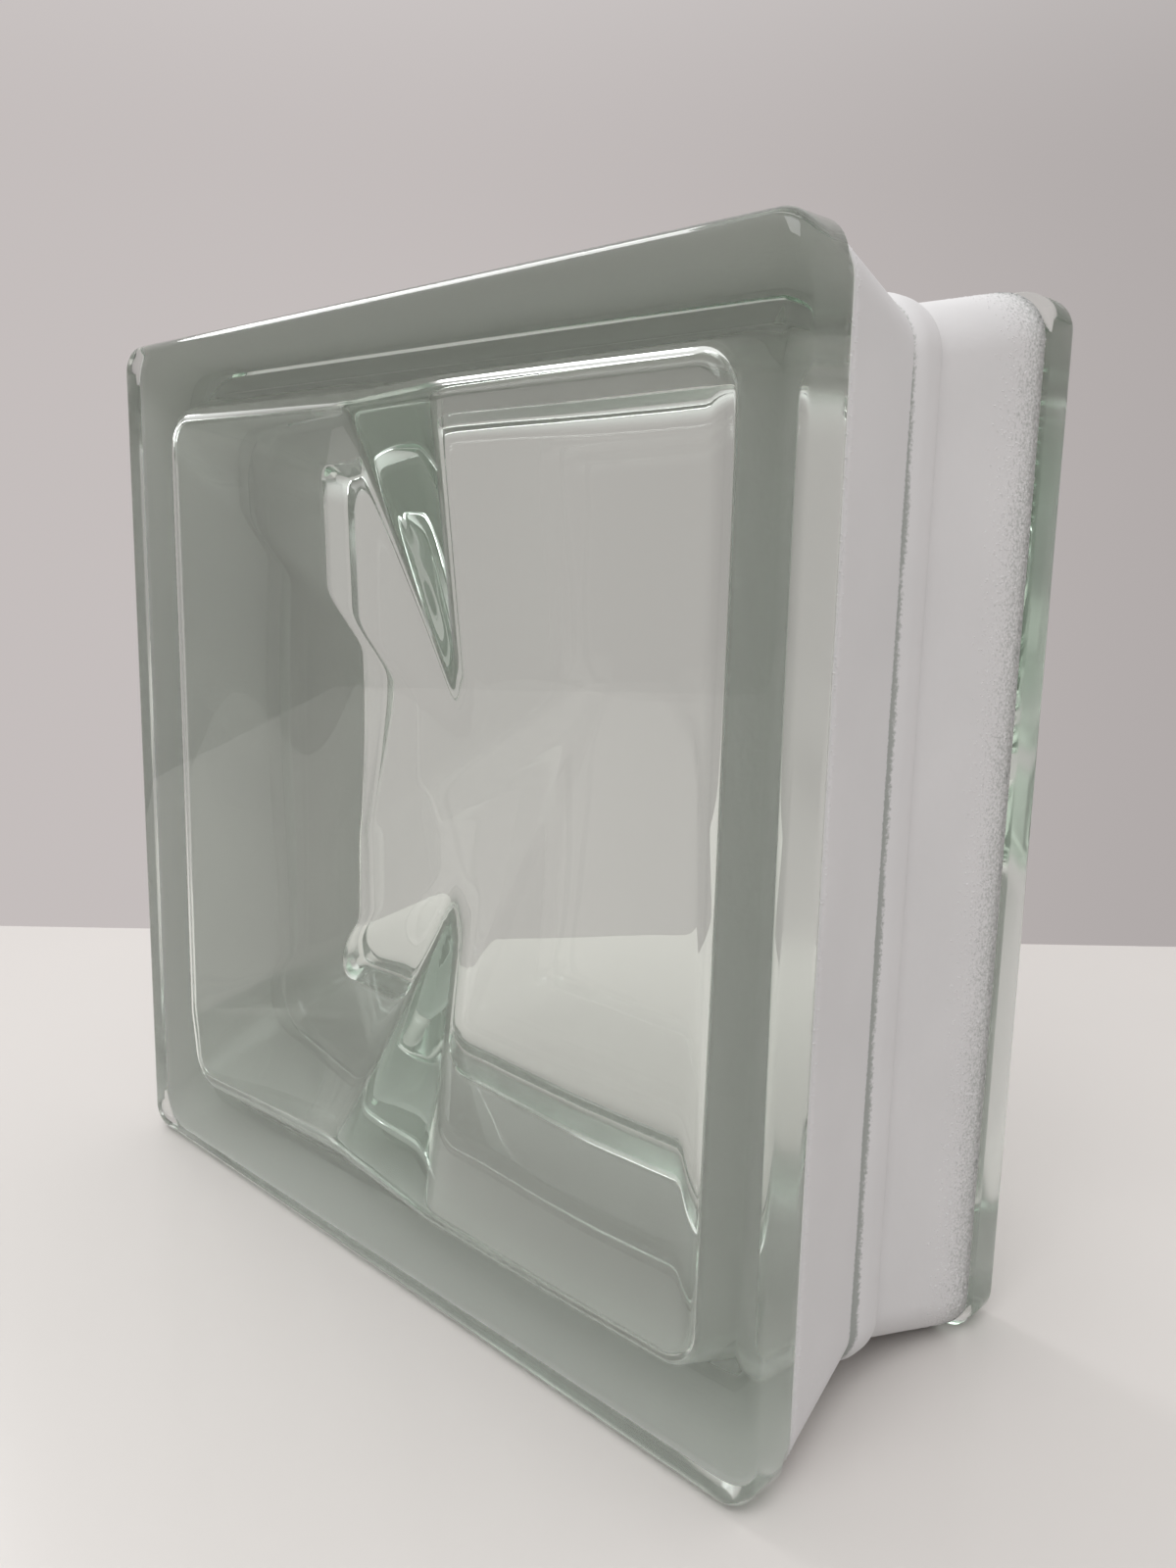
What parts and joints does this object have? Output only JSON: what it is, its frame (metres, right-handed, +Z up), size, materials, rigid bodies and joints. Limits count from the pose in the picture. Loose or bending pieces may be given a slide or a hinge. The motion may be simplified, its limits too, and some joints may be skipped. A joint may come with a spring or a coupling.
{
  "type": "glass block",
  "caption": "Square hollow glass block for walls: pressed halves fused at a beaded seam, wavy inside, with a white coated mortar channel round the edges.",
  "frame": {"origin": "middle of the underside, on the floor that the block stands on", "axes": "+Z up, -Y out of the front face, X across the face"},
  "size_m": [0.19, 0.08, 0.19],
  "materials": {
    "glass": "clear pressed glass with a faint grey-green tint, fire-polished outside, wavy inside",
    "edge_coating": "matt white sprayed coating with fine grit"
  },
  "bodies": {
    "root": {"front_half": "glass", "rear_half": "glass", "edge_coating": "edge_coating"}
  },
  "joints": []
}
